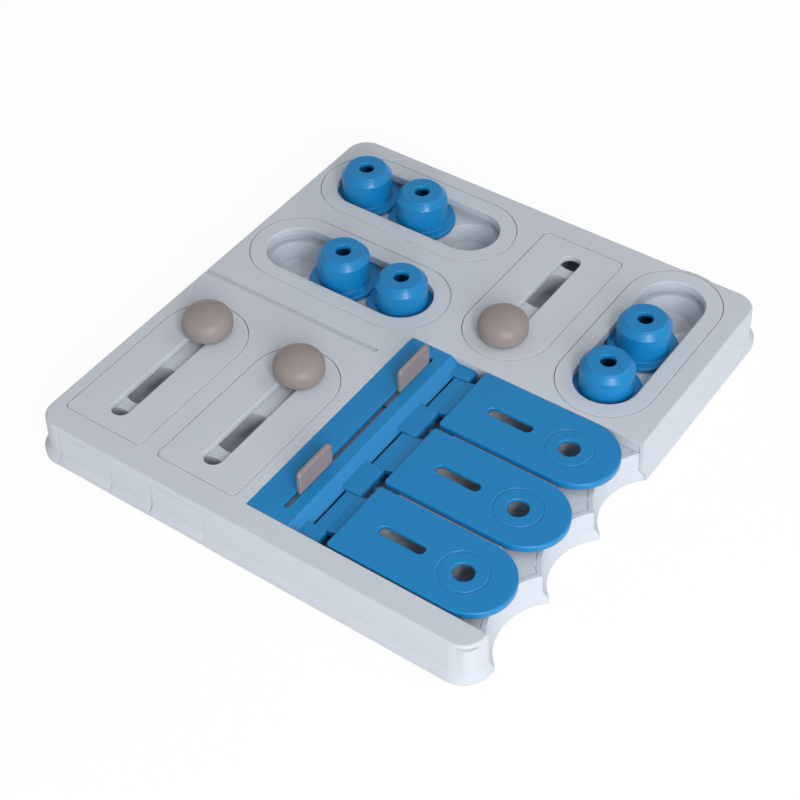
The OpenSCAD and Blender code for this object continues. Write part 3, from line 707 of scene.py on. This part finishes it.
def feet_tree():
    """A node tree that sets one foot, drawn at unit size, on every point it is given."""
    tree = bpy.data.node_groups.new("rubber feet", "GeometryNodeTree")
    face = tree.interface
    given = {}
    for name, kind in (("Places", "Geometry"), ("Foot", "Object"), ("Radius", "Float"),
                       ("Height", "Float"), ("Finish", "Material")):
        made = face.new_socket(name=name, in_out="INPUT", socket_type="NodeSocket" + kind)
        given[name] = made.identifier
    face.new_socket(name="Feet", in_out="OUTPUT", socket_type="NodeSocketGeometry")
    nodes = tree.nodes
    link = tree.links.new
    start = nodes.new("NodeGroupInput")
    end = nodes.new("NodeGroupOutput")
    shape = nodes.new("GeometryNodeObjectInfo")
    size = nodes.new("ShaderNodeCombineXYZ")
    place = nodes.new("GeometryNodeInstanceOnPoints")
    real = nodes.new("GeometryNodeRealizeInstances")
    dress = nodes.new("GeometryNodeSetMaterial")
    link(start.outputs["Foot"], shape.inputs["Object"])
    for axis, name in (("X", "Radius"), ("Y", "Radius"), ("Z", "Height")):
        link(start.outputs[name], size.inputs[axis])
    link(start.outputs["Places"], place.inputs["Points"])
    link(shape.outputs["Geometry"], place.inputs["Instance"])
    link(size.outputs["Vector"], place.inputs["Scale"])
    link(place.outputs["Instances"], real.inputs["Geometry"])
    link(real.outputs["Geometry"], dress.inputs["Geometry"])
    link(start.outputs["Finish"], dress.inputs["Material"])
    link(dress.outputs["Geometry"], end.inputs["Feet"])
    return tree, given


mesh = bmesh.new()
turned(mesh, filleted([(0, 0, 0), (1, 0, foot_ease), (1, 1, 0), (0, 1, 0)]), (0, 0), steps=48)
bmesh.ops.recalc_face_normals(mesh, faces=mesh.faces)
foot_data = bpy.data.meshes.new("one foot")
mesh.to_mesh(foot_data)
mesh.free()
one_foot = bpy.data.objects.new("one foot", foot_data)
place_data = bpy.data.meshes.new("foot places")
place_data.from_pydata([(x / 1000, y / 1000, 0) for x, y in foot_places], [], [])
places = bpy.data.objects.new("foot places", place_data)
bpy.context.scene.collection.objects.link(one_foot)
bpy.context.scene.collection.objects.link(places)
tree, given = feet_tree()
maker = places.modifiers.new("feet", "NODES")
maker.node_group = tree
for name, value in (("Foot", one_foot), ("Radius", foot_r), ("Height", foot_h), ("Finish", rubber)):
    maker[given[name]] = value
seen = places.evaluated_get(bpy.context.evaluated_depsgraph_get())
feet_data = bpy.data.meshes.new_from_object(seen)
bpy.data.objects.remove(places)
bpy.data.objects.remove(one_foot)
feet = bpy.data.objects.new("feet", feet_data)
bpy.context.scene.collection.objects.link(feet)
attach(feet, "base")
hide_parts("rubber_feet")


# ---------------------------------------------------------------------------
# The studio. A sheet of white paper, a weak lamp above and behind, a broad
# one in front to the right, a small one for the sheen, and a pale surround.
# The paper and the surround look white, and the paper keeps the shadow.

paper_white = 0.93
paper_glow_share = 0.92
surround_light = 0.53
floor_mesh = bpy.data.meshes.new("floor")
shape = bmesh.new()
bmesh.ops.create_grid(shape, x_segments=1, y_segments=1, size=6.0)
shape.to_mesh(floor_mesh)
shape.free()
floor = bpy.data.objects.new("floor", floor_mesh)
bpy.context.scene.collection.objects.link(floor)
paper = bpy.data.materials.new("paper")
paper.use_nodes = True
paper_nodes = paper.node_tree.nodes
paper_link = paper.node_tree.links.new
paper_shader = paper_nodes["Principled BSDF"]
paper_shader.inputs["Base Color"].default_value = (paper_white, paper_white, paper_white, 1)
paper_shader.inputs["Roughness"].default_value = 1.0
paper_shader.inputs["Specular IOR Level"].default_value = 0.0
paper_glow = paper_nodes.new("ShaderNodeEmission")
paper_glow.inputs["Color"].default_value = (1, 1, 1, 1)
paper_mix = paper_nodes.new("ShaderNodeMixShader")
paper_path = paper_nodes.new("ShaderNodeLightPath")
seen = paper_path.outputs["Is Camera Ray"]
for ray in ("Is Glossy Ray", "Is Transmission Ray"):
    either = paper_nodes.new("ShaderNodeMath")
    either.operation = "MAXIMUM"
    paper_link(seen, either.inputs[0])
    paper_link(paper_path.outputs[ray], either.inputs[1])
    seen = either.outputs[0]
share = paper_nodes.new("ShaderNodeMath")
share.operation = "MULTIPLY"
share.inputs[1].default_value = paper_glow_share
paper_link(seen, share.inputs[0])
paper_link(share.outputs[0], paper_mix.inputs["Fac"])
paper_link(paper_shader.outputs["BSDF"], paper_mix.inputs[1])
paper_link(paper_glow.outputs["Emission"], paper_mix.inputs[2])
paper_link(paper_mix.outputs["Shader"], paper_nodes["Material Output"].inputs["Surface"])
floor_mesh.materials.append(paper)


def soft_lamp(name, place, size, power):
    """A round lamp, so many metres wide and watts strong, that looks at the board's middle."""
    lamp = bpy.data.lights.new(name, "AREA")
    lamp.shape = "DISK"
    lamp.size = size
    lamp.energy = power
    holder = bpy.data.objects.new(name, lamp)
    aim = Vector(place).to_track_quat("Z", "Y")
    holder.matrix_world = Matrix.Translation(Vector(place)) @ aim.to_matrix().to_4x4()
    bpy.context.scene.collection.objects.link(holder)


soft_lamp("lamp above", (0.9, 0.9, 1.5), 1.0, 4)
soft_lamp("lamp in front", (1.35, -1.15, 0.75), 1.3, 26)
soft_lamp("small lamp for the sheen", (1.12, -0.68, 1.24), 0.25, 5)

world = bpy.data.worlds.new("surround")
bpy.context.scene.world = world
world.use_nodes = True
world_nodes = world.node_tree.nodes
world_nodes["Background"].inputs["Color"].default_value = (1, 1, 1, 1)
world_path = world_nodes.new("ShaderNodeLightPath")
world_light = world_nodes.new("ShaderNodeMapRange")
world_light.inputs["To Min"].default_value = surround_light
world_light.inputs["To Max"].default_value = 1.0
world.node_tree.links.new(world_path.outputs["Is Camera Ray"], world_light.inputs["Value"])
world.node_tree.links.new(world_light.outputs["Result"], world_nodes["Background"].inputs["Strength"])
bpy.context.scene.view_settings.view_transform = "Standard"


# ---------------------------------------------------------------------------
# The scene brought up to date at the end.


bpy.context.view_layer.update()
